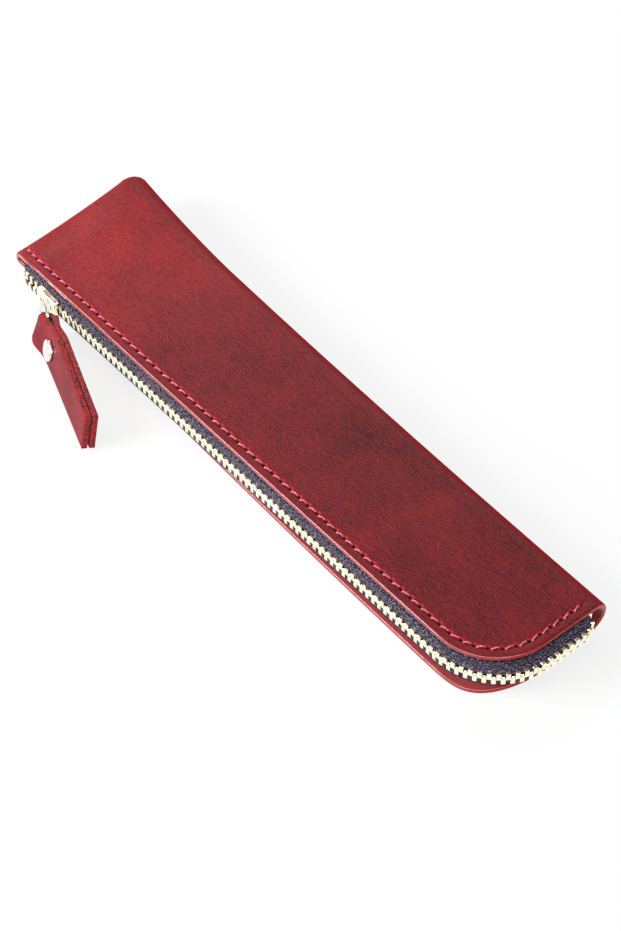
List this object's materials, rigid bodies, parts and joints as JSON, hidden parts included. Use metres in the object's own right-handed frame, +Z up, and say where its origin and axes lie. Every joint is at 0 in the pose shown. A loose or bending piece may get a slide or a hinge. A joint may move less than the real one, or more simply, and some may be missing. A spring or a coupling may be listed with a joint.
{
  "type": "pencil case",
  "caption": "Slim flat leather pencil case with an L-shaped metal zip round one long side and one end, and a riveted leather pull tab.",
  "frame": {"origin": "under the middle of the case, on the flat outer face of the lower panel that it lies on", "axes": "+X along the case from the sewn end to the zipped short end, +Y from the zip towards the fold, +Z up through the case's thickness"},
  "size_m": [0.1975, 0.0712, 0.015],
  "materials": {
    "case_leather": "red-brown pull-up leather, waxed and softly mottled",
    "tab_leather": "pinkish red leather with dark burnished edges",
    "zip_tape": "matt woven navy tape",
    "zip_metal": "pale gold, polished",
    "nickel_steel": "bright nickel plate",
    "thread": "waxed pink-red thread"
  },
  "bodies": {
    "case": {"leather_body": "case_leather", "upper_tape": "zip_tape", "lower_tape": "zip_tape", "upper_teeth": "zip_metal", "lower_teeth": "zip_metal", "upper_top_stop": "zip_metal", "lower_top_stop": "zip_metal", "bottom_stop": "zip_metal", "upper_seam_thread": "thread", "upper_bobbin_thread": "thread", "lower_seam_thread": "thread", "lower_bobbin_thread": "thread", "end_seam_thread": "thread"},
    "slider": {"slider_body": "zip_metal", "slider_bridge": "zip_metal"},
    "link": {"pull_link": "nickel_steel"},
    "tab": {"pull_tab": "tab_leather", "rivet_cap": "nickel_steel", "rivet_post": "nickel_steel"}
  },
  "joints": [
    {"name": "zip_slide", "type": "slide", "parent": "case", "child": "slider", "axis": [1, 0, 0], "range_m": [-0.0045, 0.152], "deforming": ["upper_teeth", "lower_teeth"]},
    {"name": "pull_swing", "type": "hinge", "parent": "slider", "child": "link", "pos_m": [-0.0775, -0.0241, 0.0061], "axis": [0, 0, -1], "range_deg": [-10, 130]},
    {"name": "tab_swing", "type": "hinge", "parent": "link", "child": "tab", "pos_m": [-0.07129, -0.02733, 0.00598], "axis": [-0.1345, -0.2218, -0.9658], "range_deg": [-12, 24]}
  ]
}
